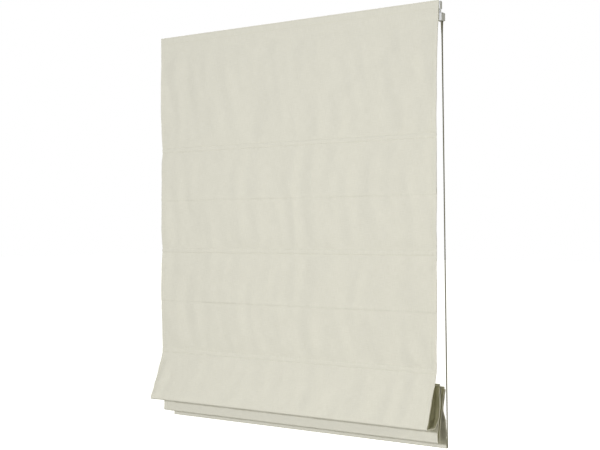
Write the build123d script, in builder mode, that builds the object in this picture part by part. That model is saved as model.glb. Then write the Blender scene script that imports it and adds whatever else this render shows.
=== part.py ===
from build123d import *
import math
import os

os.makedirs("parts", exist_ok=True)

# A roman blind that hangs from two ceiling brackets, drawn up by two folds.
# Origin: on the ceiling plane, midway between the two bracket screws and over the middle of the
# head rail. +X is the chain side, +Y the window side, and +Z up. Millimetres.

# Overall sizes
fabric_width_top = 998.0      # across the cloth where it is fixed to the rail
fabric_draw_in = 6.5          # each side of the cloth draws in this much from rod 1 down
top_section = 361.0           # cloth from its top edge down to rod 1
section = 318.0               # cloth from each rod to the next

# Head rail, tapes and brackets
rail_inset = 0.5              # the rail stops this far inside the cloth's upper edges
rail_depth = 12.0
rail_height = 21.0
rail_wall = 1.2
rail_slot = 5.0               # width of the slots along the rail's top and underside
end_cap_thickness = 3.0
end_cap_plug = 12.0           # how far an end cap's plugs reach into the rail
end_cap_round = 2.5
tape_thickness = 1.0          # hook tape on the rail, and loop tape on the cloth
tape_height = 20.0
bracket_spacing = 700.0       # between the two ceiling screws
bracket_length = 40.0
bracket_inset = 0.5           # the brackets stop this far inside the rail's faces
bracket_plate = 3.0
screw_hole_radius = 2.2
screw_head_radius = 4.0
foot_thickness = 1.6          # T-shaped feet that hold in the rail's slots
foot_length = 7.0
slide_fit = 0.2               # play of each foot and plug in the rail
foot_gap = 1.0                # between an end cap's plugs and the nearest foot

# Cloth
fabric_thickness = 1.2
fabric_top = -1.0
soft_gap = 0.3                # between the cloth and what it moves against
band_line = 50.0              # the cloth keeps its full width down to here
fold_reach = 58.5             # fold 1 hangs this far in front of the flat cloth
fold_slack = 8.0              # each fold hangs this much less than half a section
hem_height = 27.0             # pocket for the bottom bar
hem_bend_share = 0.48         # of the hem's spacing, for a round lower edge
flap_lean = 4.5               # the flap hangs this far behind the turn over rod 5
flap_length = 164.0           # cloth from rod 5 down to the hem's lower edge

# Rods and their pockets
rod_radius = 2.0
rod_play = 0.3
pocket_wall = 0.7
pocket_tape = 0.6
pocket_height = 14.0
rod_end_gap = 5.0             # rod ends stay this far inside the cloth's edges
pocket_end_gap = 3.0
turn_width = 8.0              # the cloth's turn over rods 4 and 5, between its two leaves
turn_bend = 3.3
rod_4_back = 23.0             # rods 4 and 5 lie this far behind the flat cloth
rod_5_back = 49.0
rod_4_drop = 42.0             # and this far below rod 3
rod_5_drop = 52.0

# Lift cords, their rings and stops
cord_spacing = 380.0
cord_radius = 0.7
ring_radius = 5.0
ring_wire = 1.0
ring_foot = 5.0
ring_foot_depth = 1.2
stop_radius = 4.5
stop_hole_play = 0.3
ring_bend = 6.0               # bend of a taut cord over a ring

# Drive under the rail
axle_y = 5.0
axle_drop = 21.0              # shaft axis below the rail's underside
shaft_size = 4.0              # square shaft
shaft_play = 0.1
running_gap = 0.05            # radial gap of every journal in its bore
shaft_end_gap = 0.5
drum_radius = 7.5
drum_length = 42.0
flange_radius = 9.8
flange_thickness = 1.5
journal_radius = 5.0
wound_turns = 12
cradle_wall = 2.0
cradle_depth = 20.0
cradle_side_gap = 0.4
cradle_floor = 2.0
cradle_floor_drop = 7.0       # room below each drum for its cord to swing to the eyelet
eyelet_radius = 2.0
bearing_thickness = 5.0
bush_radius = 4.0
bush_lip = 2.0

# Chain drive
housing_depth = 20.6
housing_height = 22.0
housing_width = 12.1
housing_overhang = 3.1        # the housing stands this far past the end cap
cover_thickness = 1.2
housing_wall = 1.4
housing_round = 3.0
hanger_width = 3.5
hanger_depth = 5.0
bead_radius = 1.4
bead_pitch = 3.93
bead_count = 8                # beads round the chain wheel
wheel_groove = 3.4
wheel_flange = 1.0
wheel_side_gap = 0.3
chain_slot = 5.0
hub_radius = 4.2
nose_radius = 2.5
brake_cup_wall = 1.2
spring_wire = 0.7
spring_turns = 5
spring_pitch = 0.8
cover_screw_radius = 1.1
cover_screw_head = 1.9
cover_screw_length = 7.0
cover_screw_slot = 0.4
screw_boss = 4.0

# Bottom bar
bar_thickness = 3.0
bar_height = 20.0
bar_wall = 0.7
bar_end_gap = 6.0
bar_cap_thickness = 3.0
bar_cap_plug = 10.0
bar_plug_play = 0.1

# Places that follow from these sizes
fabric_width = fabric_width_top - 2 * fabric_draw_in
rail_length = fabric_width_top - 2 * rail_inset
bracket_depth = rail_depth - 2 * bracket_inset
housing_right = rail_length / 2 + end_cap_thickness + housing_overhang
housing_left = housing_right - housing_width
rail_top = -bracket_plate
rail_bottom = rail_top - rail_height
rail_web = (rail_top + rail_bottom) / 2
reverse_y = -rail_depth / 2 - 2 * tape_thickness
cloth_y = reverse_y - fabric_thickness / 2
axle_z = rail_bottom - axle_drop
rod_levels = [fabric_top - top_section - n * section for n in range(3)]
rod_3_z = rod_levels[2]
rod_4_y = cloth_y + rod_4_back
rod_5_y = cloth_y + rod_5_back
rod_4_z = rod_3_z - rod_4_drop
rod_5_z = rod_3_z - rod_5_drop
fold_drop = section / 2 - fold_slack
bottom_z = rod_5_z - flap_length
tunnel_radius = rod_radius + rod_play + pocket_wall
channel_depth = rail_depth - 2 * rail_wall
cord_places = [-cord_spacing, 0.0, cord_spacing]
wheel_radius = bead_count * bead_pitch / (2 * math.pi)
groove_middle = housing_right - wheel_side_gap - wheel_flange - wheel_groove / 2
wheel_left = groove_middle - wheel_groove / 2 - wheel_flange
along_shaft = {"x_dir": (0, 1, 0), "z_dir": (1, 0, 0)}


def across(x, y=0.0, z=0.0):
    """A plane across the blind at x: its own X is +Y and its own Y is +Z."""
    return Plane(origin=(x, y, z), **along_shaft)


# ---- head rail ----

channel_height = (rail_height - 3 * rail_wall) / 2
upper_channel = rail_web + rail_wall / 2 + channel_height / 2
lower_channel = rail_web - rail_wall / 2 - channel_height / 2

with BuildPart() as head_rail:
    with BuildSketch(across(-rail_length / 2)):
        with Locations((0, rail_web)):
            Rectangle(rail_depth, rail_height)
        with Locations((0, upper_channel), (0, lower_channel)):
            Rectangle(channel_depth, channel_height, mode=Mode.SUBTRACT)
        with Locations((0, rail_top), (0, rail_bottom)):
            Rectangle(rail_slot, 3 * rail_wall, mode=Mode.SUBTRACT)
    extrude(amount=rail_length)
head_rail.part.label = "head_rail"
export_step(head_rail.part, "parts/head_rail.step")

for side, name in ((-1, "left_end_cap"), (1, "right_end_cap")):
    inner = side * rail_length / 2
    with BuildPart() as end_cap:
        with BuildSketch(across(inner)):
            with Locations((0, rail_web)):
                RectangleRounded(rail_depth, rail_height, end_cap_round)
        extrude(amount=side * end_cap_thickness)
        with BuildSketch(across(inner)):
            with Locations((0, upper_channel), (0, lower_channel)):
                Rectangle(channel_depth - 2 * slide_fit, channel_height - 2 * slide_fit)
        extrude(amount=-side * end_cap_plug)
    end_cap.part.label = name
    export_step(end_cap.part, f"parts/{name}.step")

# ---- tapes between the rail and the cloth ----

tape_middle = (rail_top + rail_bottom) / 2
with BuildPart() as hook_tape:
    with BuildSketch(across(-rail_length / 2)):
        with Locations((-rail_depth / 2 - tape_thickness / 2, tape_middle)):
            Rectangle(tape_thickness, tape_height)
    extrude(amount=rail_length)
hook_tape.part.label = "hook_tape"
export_step(hook_tape.part, "parts/hook_tape.step")

with BuildPart() as loop_tape:
    with BuildSketch(across(-rail_length / 2)):
        with Locations((-rail_depth / 2 - 1.5 * tape_thickness, tape_middle)):
            Rectangle(tape_thickness, tape_height)
    extrude(amount=rail_length)
loop_tape.part.label = "loop_tape"
export_step(loop_tape.part, "parts/loop_tape.step")

# ---- ceiling brackets, whose T-shaped feet slide into the rail's upper slot ----

foot_width = channel_depth - 2 * slide_fit
neck_width = rail_slot - 2 * slide_fit
upper_foot_top = rail_top - rail_wall - slide_fit

for side, name in ((-1, "left_bracket"), (1, "right_bracket")):
    middle = side * bracket_spacing / 2
    feet = [middle - bracket_length / 3, middle + bracket_length / 3]
    with BuildPart() as bracket:
        with BuildSketch(Plane.XY.offset(rail_top)):
            with Locations((middle, 0)):
                RectangleRounded(bracket_length, bracket_depth, 2)
        extrude(amount=bracket_plate)
        with BuildSketch(Plane.XY.offset(rail_top)):
            with Locations(*[(x, 0) for x in feet]):
                Rectangle(foot_length, neck_width)
        extrude(amount=-rail_wall - slide_fit)
        with BuildSketch(Plane.XY.offset(upper_foot_top)):
            with Locations(*[(x, 0) for x in feet]):
                Rectangle(foot_length, foot_width)
        extrude(amount=-foot_thickness)
        with Locations(Location((middle, 0, rail_top), (180, 0, 0))):
            CounterSinkHole(screw_hole_radius, screw_head_radius, bracket_plate)
    bracket.part.label = name
    export_step(bracket.part, f"parts/{name}.step")

# ---- cloth, one sewn panel with its two folds and the hem round the bottom bar ----

leaf = turn_width / 2
hem_spacing = bar_thickness + 2 * soft_gap + fabric_thickness
hem_bend = hem_bend_share * hem_spacing
hem_y = cloth_y + rod_5_back + leaf + flap_lean
trim_bottom = bottom_z - 2 * fabric_thickness
profile = [
    ((cloth_y, fabric_top), None),
    ((cloth_y, rod_3_z - 5), 28.0),
    ((cloth_y - fold_reach, rod_3_z - fold_drop), 5.0),
    ((cloth_y + 13.0, rod_3_z - fold_drop - 1.5), 36.0),
    ((rod_4_y - leaf, rod_4_z), turn_bend),
    ((rod_4_y + leaf, rod_4_z), turn_bend),
    ((cloth_y + 6.0, rod_4_z - fold_drop + 1.0), 3.6),
    ((cloth_y + 14.5, rod_4_z - fold_drop - 3.0), 3.6),
    ((cloth_y + 28.0, rod_5_z - 54.0), 60.0),
    ((rod_5_y - leaf, rod_5_z), turn_bend),
    ((rod_5_y + leaf, rod_5_z), turn_bend),
    ((cloth_y + 38.5, rod_5_z - 50.0), 40.0),
    ((hem_y - 2.0, rod_5_z - 92.0), 40.0),
    ((hem_y, bottom_z + fabric_thickness / 2), hem_bend),
    ((hem_y + hem_spacing, bottom_z + fabric_thickness / 2), hem_bend),
    ((hem_y + hem_spacing, bottom_z + hem_height), None),
]
with BuildPart() as fabric_panel:
    with BuildLine(across(0)) as middle_line:
        FilletPolyline(
            *[point for point, _ in profile], radius=[radius for _, radius in profile[1:-1]]
        )
    start = Plane(origin=middle_line.line @ 0, x_dir=(1, 0, 0), z_dir=middle_line.line % 0)
    with BuildSketch(start):
        Rectangle(fabric_width_top, fabric_thickness)
    sweep()
    with BuildSketch(Plane.XZ):
        with BuildLine():
            Polyline(
                (-fabric_width_top / 2, 2 * fabric_thickness),
                (-fabric_width_top / 2, -band_line),
                (-fabric_width / 2, rod_levels[0]),
                (-fabric_width / 2, trim_bottom),
                (fabric_width / 2, trim_bottom),
                (fabric_width / 2, rod_levels[0]),
                (fabric_width_top / 2, -band_line),
                (fabric_width_top / 2, 2 * fabric_thickness),
                close=True,
            )
        make_face()
    extrude(amount=2 * rod_5_back, both=True, mode=Mode.INTERSECT)
fabric_panel.part.label = "fabric_panel"
export_step(fabric_panel.part, "parts/fabric_panel.step")

# ---- rods in their pockets, with a row of rings on each pocket ----

# Rods 1 to 3 lie behind the flat cloth, and rods 4 and 5 on top of its turns. Each plane's own X
# points away from the cloth, and its own Y runs along the pocket's tape.
turn_top = fabric_thickness / 2 + soft_gap
rod_planes = [across(0, reverse_y + soft_gap, z) for z in rod_levels]
rod_planes += [
    Plane(origin=(0, y, z + turn_top), x_dir=(0, 0, 1), z_dir=(1, 0, 0))
    for y, z in ((rod_4_y, rod_4_z), (rod_5_y, rod_5_z))
]
rod_length = fabric_width - 2 * rod_end_gap
pocket_length = fabric_width - 2 * pocket_end_gap
ring_middle = ring_foot_depth + ring_radius
ring_foot_height = ring_foot_depth + tunnel_radius

for number, plane in enumerate(rod_planes, 1):
    with BuildPart() as rod:
        with BuildSketch(plane.offset(-rod_length / 2)):
            with Locations((tunnel_radius, 0)):
                Circle(rod_radius)
        extrude(amount=rod_length)
    rod.part.label = f"rod_{number}"
    export_step(rod.part, f"parts/rod_{number}.step")

    with BuildPart() as pocket:
        with BuildSketch(plane.offset(-pocket_length / 2)):
            with Locations((pocket_tape / 2, 0)):
                Rectangle(pocket_tape, pocket_height)
            with Locations((tunnel_radius, 0)):
                Circle(tunnel_radius)
                Circle(rod_radius + rod_play, mode=Mode.SUBTRACT)
        extrude(amount=pocket_length)
    pocket.part.label = f"rod_pocket_{number}"
    export_step(pocket.part, f"parts/rod_pocket_{number}.step")

    crown = plane.origin + 2 * tunnel_radius * plane.x_dir
    ring_planes = [
        Plane(origin=crown + Vector(x, 0, 0), x_dir=(1, 0, 0), z_dir=plane.y_dir)
        for x in cord_places
    ]
    with BuildPart(*ring_planes) as rings:
        with Locations((0, ring_middle, 0)):
            Torus(ring_radius, ring_wire)
        with Locations((0, ring_foot_depth, 0)):
            Box(ring_foot, ring_foot_height, ring_foot, align=(Align.CENTER, Align.MAX, Align.CENTER))
        with Locations((0, -tunnel_radius, 0)):
            Cylinder(
                tunnel_radius + running_gap, 2 * ring_foot, rotation=(0, 90, 0), mode=Mode.SUBTRACT
            )
    rings.part.label = f"rod_rings_{number}"
    export_step(rings.part, f"parts/rod_rings_{number}.step")

# ---- lift cords, from their drums through the eyelets and rings to the stops ----

ring_reach = 2 * tunnel_radius + ring_middle
cord_y = reverse_y + soft_gap + ring_reach
ring_4_z = rod_4_z + turn_top + ring_reach
ring_5_z = rod_5_z + turn_top + ring_reach
cradle_bottom = axle_z - flange_radius - cradle_floor_drop - cradle_floor
eyelet_z = cradle_bottom + cradle_floor / 2
wound_radius = drum_radius + 2 * cord_radius
leave_radius = wound_radius + soft_gap + cord_radius
eyelet_distance = math.hypot(cord_y - axle_y, eyelet_z - axle_z)
leave_angle = math.atan2(eyelet_z - axle_z, cord_y - axle_y) + math.acos(
    leave_radius / eyelet_distance
)
leave_point = (
    axle_y + leave_radius * math.cos(leave_angle),
    axle_z + leave_radius * math.sin(leave_angle),
)
stop_step = math.sqrt((stop_radius + ring_wire) ** 2 - ring_radius**2) + soft_gap
stop_y = rod_5_y + stop_step
lift_route = [
    leave_point,
    (cord_y, eyelet_z),
    (cord_y, rod_3_z),
    (rod_4_y - 2, ring_4_z - 0.5),
    (rod_5_y - 1, ring_5_z),
    (stop_y + 1, ring_5_z),
]
lift_bends = [2.0, ring_bend, ring_bend, 2.0]

for number, x in enumerate(cord_places, 1):
    with BuildPart() as lift_cord:
        with BuildLine(across(x)) as route:
            FilletPolyline(*lift_route, radius=lift_bends)
        with BuildSketch(Plane(origin=route.line @ 0, z_dir=route.line % 0)):
            Circle(cord_radius)
        sweep()
    lift_cord.part.label = f"lift_cord_{number}"
    export_step(lift_cord.part, f"parts/lift_cord_{number}.step")

stop_planes = [Plane(origin=(x, stop_y, ring_5_z), z_dir=(0, 1, 0)) for x in cord_places]
with BuildPart(*stop_planes) as cord_stops:
    Sphere(stop_radius)
    Cylinder(cord_radius + stop_hole_play, 3 * stop_radius, mode=Mode.SUBTRACT)
cord_stops.part.label = "cord_stops"
export_step(cord_stops.part, "parts/cord_stops.step")

# ---- cord drums on the shaft, each in a cradle under the rail ----

drum_half = drum_length / 2 + flange_thickness
cradle_half = drum_half + cradle_side_gap
wound_length = wound_turns * 2 * cord_radius
lower_foot_bottom = rail_bottom + rail_wall + slide_fit

for number, x in enumerate(cord_places, 1):
    with BuildPart() as drum:
        with BuildSketch(across(x - drum_half, axle_y, axle_z)):
            Circle(drum_radius)
        extrude(amount=2 * drum_half)
        for start in (x - drum_half, x + drum_half - flange_thickness):
            with BuildSketch(across(start, axle_y, axle_z)):
                Circle(flange_radius)
            extrude(amount=flange_thickness)
        with BuildSketch(across(x - cradle_half - cradle_wall, axle_y, axle_z)):
            Circle(journal_radius)
        extrude(amount=2 * (cradle_half + cradle_wall))
        with BuildSketch(across(x - cradle_half - cradle_wall, axle_y, axle_z)):
            Rectangle(shaft_size + 2 * shaft_play, shaft_size + 2 * shaft_play)
        extrude(amount=2 * (cradle_half + cradle_wall), mode=Mode.SUBTRACT)
    drum.part.label = f"cord_drum_{number}"
    export_step(drum.part, f"parts/cord_drum_{number}.step")

    with BuildPart() as winding:
        with BuildSketch(across(x + cord_radius - wound_length, axle_y, axle_z)):
            Circle(wound_radius)
            Circle(drum_radius, mode=Mode.SUBTRACT)
        extrude(amount=wound_length)
    winding.part.label = f"cord_winding_{number}"
    export_step(winding.part, f"parts/cord_winding_{number}.step")

    with BuildPart() as cradle:
        for start in (x - cradle_half - cradle_wall, x + cradle_half):
            with BuildSketch(across(start)):
                with BuildLine():
                    Polyline(
                        (-rail_depth / 2, rail_bottom),
                        (axle_y - cradle_depth / 2, axle_z),
                        (axle_y - cradle_depth / 4, cradle_bottom),
                        (axle_y + cradle_depth / 4, cradle_bottom),
                        (axle_y + cradle_depth / 2, axle_z),
                        (rail_depth / 2, rail_bottom),
                        close=True,
                    )
                make_face()
                with Locations((axle_y, axle_z)):
                    Circle(journal_radius + running_gap, mode=Mode.SUBTRACT)
            extrude(amount=cradle_wall)
        with BuildSketch(Plane.XY.offset(rail_bottom)):
            with Locations((x, 0)):
                Rectangle(2 * (cradle_half + cradle_wall), rail_depth)
        extrude(amount=-cradle_wall)
        with BuildSketch(Plane.XY.offset(cradle_bottom)):
            with Locations((x, axle_y)):
                Rectangle(2 * (cradle_half + cradle_wall), cradle_depth / 2)
            with Locations((x, cord_y)):
                Circle(eyelet_radius, mode=Mode.SUBTRACT)
        extrude(amount=cradle_floor)
        with BuildSketch(Plane.XY.offset(rail_bottom)):
            with Locations((x, 0)):
                Rectangle(foot_length, neck_width)
        extrude(amount=rail_wall + slide_fit)
        with BuildSketch(Plane.XY.offset(lower_foot_bottom)):
            with Locations((x, 0)):
                Rectangle(foot_length, foot_width)
        extrude(amount=foot_thickness)
    cradle.part.label = f"drum_cradle_{number}"
    export_step(cradle.part, f"parts/drum_cradle_{number}.step")

# ---- shaft, with its bush and bearing at the left end ----

bearing_right = -housing_left + bearing_thickness
with BuildPart() as shaft_bearing:
    with BuildSketch(across(-housing_left)):
        with Locations((axle_y, axle_z)):
            RectangleRounded(housing_depth, housing_height, housing_round)
        with Locations((0, (rail_bottom + axle_z) / 2)):
            Rectangle(foot_width, rail_bottom - axle_z)
        with Locations((axle_y, axle_z)):
            Circle(bush_radius + running_gap, mode=Mode.SUBTRACT)
    extrude(amount=bearing_thickness)
    foot_start = -rail_length / 2 + end_cap_plug + foot_gap
    with BuildSketch(across(bearing_right)):
        with Locations((0, rail_bottom - cradle_wall / 2)):
            Rectangle(foot_width, cradle_wall)
    extrude(amount=foot_start + foot_length - bearing_right)
    with BuildSketch(across(foot_start)):
        with Locations((0, rail_bottom + (rail_wall + slide_fit) / 2)):
            Rectangle(neck_width, rail_wall + slide_fit)
        with Locations((0, lower_foot_bottom + foot_thickness / 2)):
            Rectangle(foot_width, foot_thickness)
    extrude(amount=foot_length)
shaft_bearing.part.label = "shaft_bearing"
export_step(shaft_bearing.part, "parts/shaft_bearing.step")

with BuildPart() as shaft_bush:
    with BuildSketch(across(-housing_left, axle_y, axle_z)):
        Circle(bush_radius)
        Rectangle(shaft_size + 2 * shaft_play, shaft_size + 2 * shaft_play, mode=Mode.SUBTRACT)
    extrude(amount=bearing_thickness)
    with BuildSketch(across(bearing_right + cradle_side_gap, axle_y, axle_z)):
        Circle(bush_radius + bush_lip)
        Rectangle(shaft_size + 2 * shaft_play, shaft_size + 2 * shaft_play, mode=Mode.SUBTRACT)
    extrude(amount=flange_thickness)
    with BuildSketch(across(bearing_right, axle_y, axle_z)):
        Circle(bush_radius)
        Rectangle(shaft_size + 2 * shaft_play, shaft_size + 2 * shaft_play, mode=Mode.SUBTRACT)
    extrude(amount=cradle_side_gap)
shaft_bush.part.label = "shaft_bush"
export_step(shaft_bush.part, "parts/shaft_bush.step")

with BuildPart() as drive_shaft:
    with BuildSketch(across(-housing_left + shaft_end_gap, axle_y, axle_z)):
        Rectangle(shaft_size, shaft_size)
    extrude(amount=housing_left + wheel_left - 2 * shaft_end_gap)
drive_shaft.part.label = "drive_shaft"
export_step(drive_shaft.part, "parts/drive_shaft.step")

# ---- chain drive: housing, cover, chain wheel and wrap-spring brake ----

cavity_left = housing_left + housing_wall
housing_top = axle_z + housing_height / 2
housing_bottom = axle_z - housing_height / 2
bearing_hub = hub_radius - housing_wall / 2
brake_cup_radius = hub_radius + spring_wire + 2 * running_gap
boss_inset = housing_wall + screw_boss / 2
screw_places = [
    (axle_y + y, housing_top - boss_inset)
    for y in (boss_inset - housing_depth / 2, housing_depth / 2 - boss_inset)
]
hanger_x = rail_length / 2 + end_cap_thickness - hanger_width / 2
foot_end = rail_length / 2 - end_cap_plug - foot_gap

with BuildPart() as drive_housing:
    with BuildSketch(across(housing_left, axle_y, axle_z)):
        RectangleRounded(housing_depth, housing_height, housing_round)
    extrude(amount=housing_right - housing_left)
    with BuildSketch(across(cavity_left, axle_y, axle_z)):
        RectangleRounded(
            housing_depth - 2 * housing_wall,
            housing_height - 2 * housing_wall,
            housing_round - housing_wall,
        )
    extrude(amount=housing_right - cavity_left, mode=Mode.SUBTRACT)
    # Brake cup round the hub, and the hub's bearing in the left wall
    with BuildSketch(across(cavity_left, axle_y, axle_z)):
        Circle(brake_cup_radius + brake_cup_wall)
        Circle(brake_cup_radius, mode=Mode.SUBTRACT)
    extrude(amount=wheel_left - cavity_left - wheel_side_gap)
    with BuildSketch(across(housing_left, axle_y, axle_z)):
        Circle(bearing_hub + running_gap)
    extrude(amount=housing_wall, mode=Mode.SUBTRACT)
    # Bosses for the cover's screws
    with BuildSketch(across(cavity_left)):
        with Locations(*screw_places):
            Rectangle(screw_boss, screw_boss)
    extrude(amount=housing_right - cavity_left)
    with BuildSketch(across(housing_right)):
        with Locations(*screw_places):
            Circle(cover_screw_radius)
    extrude(amount=cover_thickness - cover_screw_length, mode=Mode.SUBTRACT)
    # Slot that the chain hangs out of
    with BuildSketch(Plane.XY.offset(housing_bottom)):
        with Locations((groove_middle, axle_y)):
            Rectangle(chain_slot, 2 * (wheel_radius + bead_radius + soft_gap))
    extrude(amount=housing_wall, mode=Mode.SUBTRACT)
    # Hanger under the end cap, and a web and foot that hold in the rail's lower slot
    with BuildSketch(Plane.XY.offset(housing_top)):
        with Locations((hanger_x, -hanger_depth / 2 + 1)):
            Rectangle(hanger_width, hanger_depth)
        with Locations((housing_left + housing_wall / 2, 0)):
            Rectangle(housing_wall, foot_width)
    extrude(amount=rail_bottom - housing_top)
    with BuildSketch(across(housing_left + housing_wall)):
        with Locations((0, rail_bottom - cradle_wall / 2)):
            Rectangle(foot_width, cradle_wall)
    extrude(amount=foot_end - foot_length - housing_left - housing_wall)
    with BuildSketch(across(foot_end)):
        with Locations((0, rail_bottom + (rail_wall + slide_fit) / 2)):
            Rectangle(neck_width, rail_wall + slide_fit)
        with Locations((0, lower_foot_bottom + foot_thickness / 2)):
            Rectangle(foot_width, foot_thickness)
    extrude(amount=-foot_length)
drive_housing.part.label = "drive_housing"
export_step(drive_housing.part, "parts/drive_housing.step")

with BuildPart() as drive_cover:
    with BuildSketch(across(housing_right, axle_y, axle_z)):
        RectangleRounded(housing_depth, housing_height, housing_round)
        Circle(nose_radius + running_gap, mode=Mode.SUBTRACT)
    extrude(amount=cover_thickness)
    with BuildSketch(across(housing_right)):
        with Locations(*screw_places):
            Circle(cover_screw_radius)
    extrude(amount=cover_thickness, mode=Mode.SUBTRACT)
drive_cover.part.label = "drive_cover"
export_step(drive_cover.part, "parts/drive_cover.step")

cover_face = housing_right + cover_thickness
with BuildPart() as cover_screws:
    with BuildSketch(across(cover_face)):
        with Locations(*screw_places):
            Circle(cover_screw_radius)
    extrude(amount=-cover_screw_length)
    with BuildSketch(across(cover_face)):
        with Locations(*screw_places):
            Circle(cover_screw_head)
    extrude(amount=cover_screw_radius, taper=20)
    with BuildSketch(across(cover_face + cover_screw_radius)):
        with Locations(*screw_places):
            Rectangle(2 * cover_screw_radius, cover_screw_slot)
    extrude(amount=-cover_screw_radius / 2, mode=Mode.SUBTRACT)
cover_screws.part.label = "cover_screws"
export_step(cover_screws.part, "parts/cover_screws.step")

with BuildPart() as chain_wheel:
    with BuildSketch(across(housing_left, axle_y, axle_z)):
        Circle(bearing_hub)
    extrude(amount=housing_wall + wheel_side_gap)
    with BuildSketch(across(cavity_left + wheel_side_gap, axle_y, axle_z)):
        Circle(hub_radius)
    extrude(amount=wheel_left - cavity_left - wheel_side_gap)
    with BuildSketch(across(wheel_left, axle_y, axle_z)):
        Circle(wheel_radius + bead_radius)
    extrude(amount=2 * wheel_flange + wheel_groove)
    with BuildSketch(across(groove_middle - wheel_groove / 2, axle_y, axle_z)):
        Circle(wheel_radius + 2 * bead_radius)
        Circle(wheel_radius - bead_radius - soft_gap, mode=Mode.SUBTRACT)
    extrude(amount=wheel_groove, mode=Mode.SUBTRACT)
    # Notches in both flanges, one to each bead
    with BuildSketch(across(wheel_left, axle_y, axle_z)):
        with PolarLocations(wheel_radius + bead_radius, bead_count):
            Circle(bead_radius / 2)
    extrude(amount=2 * wheel_flange + wheel_groove, mode=Mode.SUBTRACT)
    with BuildSketch(across(housing_right - wheel_side_gap, axle_y, axle_z)):
        Circle(nose_radius)
    extrude(amount=cover_thickness + wheel_side_gap)
    with BuildSketch(across(housing_left, axle_y, axle_z)):
        Rectangle(shaft_size + 2 * shaft_play, shaft_size + 2 * shaft_play)
    extrude(amount=wheel_left - housing_left, mode=Mode.SUBTRACT)
chain_wheel.part.label = "chain_wheel"
export_step(chain_wheel.part, "parts/chain_wheel.step")

spring_radius = hub_radius + running_gap + spring_wire / 2
with BuildPart() as brake_spring:
    with BuildLine() as coil:
        Helix(
            spring_pitch,
            spring_turns * spring_pitch,
            spring_radius,
            center=(cavity_left + wheel_side_gap + spring_wire / 2, axle_y, axle_z),
            direction=(1, 0, 0),
        )
    with BuildSketch(Plane(origin=coil.line @ 0, z_dir=coil.line % 0)):
        Circle(spring_wire / 2)
    sweep(is_frenet=True)
brake_spring.part.label = "brake_spring"
export_step(brake_spring.part, "parts/brake_spring.step")

# ---- bead chain, hanging from the chain wheel in a loop ----

# Places along the chain from the wheel's middle, down the front strand, round the bottom of the
# loop and up the back strand. The strands lean out and back, and lie one behind the other.
chain_route = [
    (0.0, -wheel_radius, 0.0),
    (1.0, -wheel_radius + 0.1, -24.0),
    (3.2, -4.2, -66.0),
    (12.4, 8.1, -1159.0),
    (3.4, 25.9, -1159.0),
    (-2.4, 6.2, -66.0),
    (-1.0, wheel_radius - 0.1, -24.0),
    (0.0, wheel_radius, 0.0),
]
chain_points = [Vector(groove_middle, axle_y, axle_z) + Vector(*place) for place in chain_route]
chain_bends = []
for before, corner, after in zip(chain_points, chain_points[1:], chain_points[2:]):
    turn = (corner - before).get_angle(after - corner)
    shorter = min((corner - before).length, (after - corner).length)
    chain_bends.append(0.45 * shorter / math.tan(math.radians(turn / 2)))
print("bead chain radii:", [round(radius, 1) for radius in chain_bends])

with BuildPart() as bead_chain:
    with BuildLine() as loop:
        chain_line = FilletPolyline(*chain_points, radius=chain_bends)
    with BuildSketch(Plane(origin=loop.line @ 0, z_dir=loop.line % 0)):
        Circle(bead_radius)
    sweep()
bead_chain.part.label = "bead_chain"
export_step(bead_chain.part, "parts/bead_chain.step")
tube = math.pi * bead_radius**2 * chain_line.length
print(f"bead chain: {chain_line.length:.0f} mm, volume {bead_chain.part.volume:.0f} of {tube:.0f} mm3")

# ---- bottom bar in the hem ----

bar_length = fabric_width - 2 * bar_end_gap - 2 * bar_cap_thickness
bar_middle_y = hem_y + hem_spacing / 2
bar_middle_z = bottom_z + fabric_thickness / 2 + hem_bend + bar_height / 2

with BuildPart() as bottom_bar:
    with BuildSketch(across(-bar_length / 2, bar_middle_y, bar_middle_z)):
        Rectangle(bar_thickness, bar_height)
        Rectangle(bar_thickness - 2 * bar_wall, bar_height - 2 * bar_wall, mode=Mode.SUBTRACT)
    extrude(amount=bar_length)
bottom_bar.part.label = "bottom_bar"
export_step(bottom_bar.part, "parts/bottom_bar.step")

for side, name in ((-1, "left_bar_cap"), (1, "right_bar_cap")):
    with BuildPart() as bar_cap:
        with BuildSketch(across(side * bar_length / 2, bar_middle_y, bar_middle_z)):
            Rectangle(bar_thickness, bar_height)
        extrude(amount=side * bar_cap_thickness)
        with BuildSketch(across(side * bar_length / 2, bar_middle_y, bar_middle_z)):
            Rectangle(
                bar_thickness - 2 * bar_wall - 2 * bar_plug_play,
                bar_height - 2 * bar_wall - 2 * bar_plug_play,
            )
        extrude(amount=-side * bar_cap_plug)
    bar_cap.part.label = name
    export_step(bar_cap.part, f"parts/{name}.step")
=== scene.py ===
import math

import bmesh
import bpy
import numpy as np
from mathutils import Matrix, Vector, noise
from mathutils.geometry import tessellate_polygon


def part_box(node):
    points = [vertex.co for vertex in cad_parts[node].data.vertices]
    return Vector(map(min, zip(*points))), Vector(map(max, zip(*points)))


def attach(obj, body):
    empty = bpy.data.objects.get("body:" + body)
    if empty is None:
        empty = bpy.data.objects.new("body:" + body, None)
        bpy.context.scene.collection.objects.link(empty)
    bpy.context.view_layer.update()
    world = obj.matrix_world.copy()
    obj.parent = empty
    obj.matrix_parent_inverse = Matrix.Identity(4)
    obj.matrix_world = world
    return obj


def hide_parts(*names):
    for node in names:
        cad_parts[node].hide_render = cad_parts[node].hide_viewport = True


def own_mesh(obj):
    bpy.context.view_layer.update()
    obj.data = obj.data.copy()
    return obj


# A roman blind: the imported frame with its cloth, cords, chain, finishes, light and camera.
# Lengths named here are millimetres, and MM turns them into the frame's metres. The floor, the
# lights and the camera are placed in metres.

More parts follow.
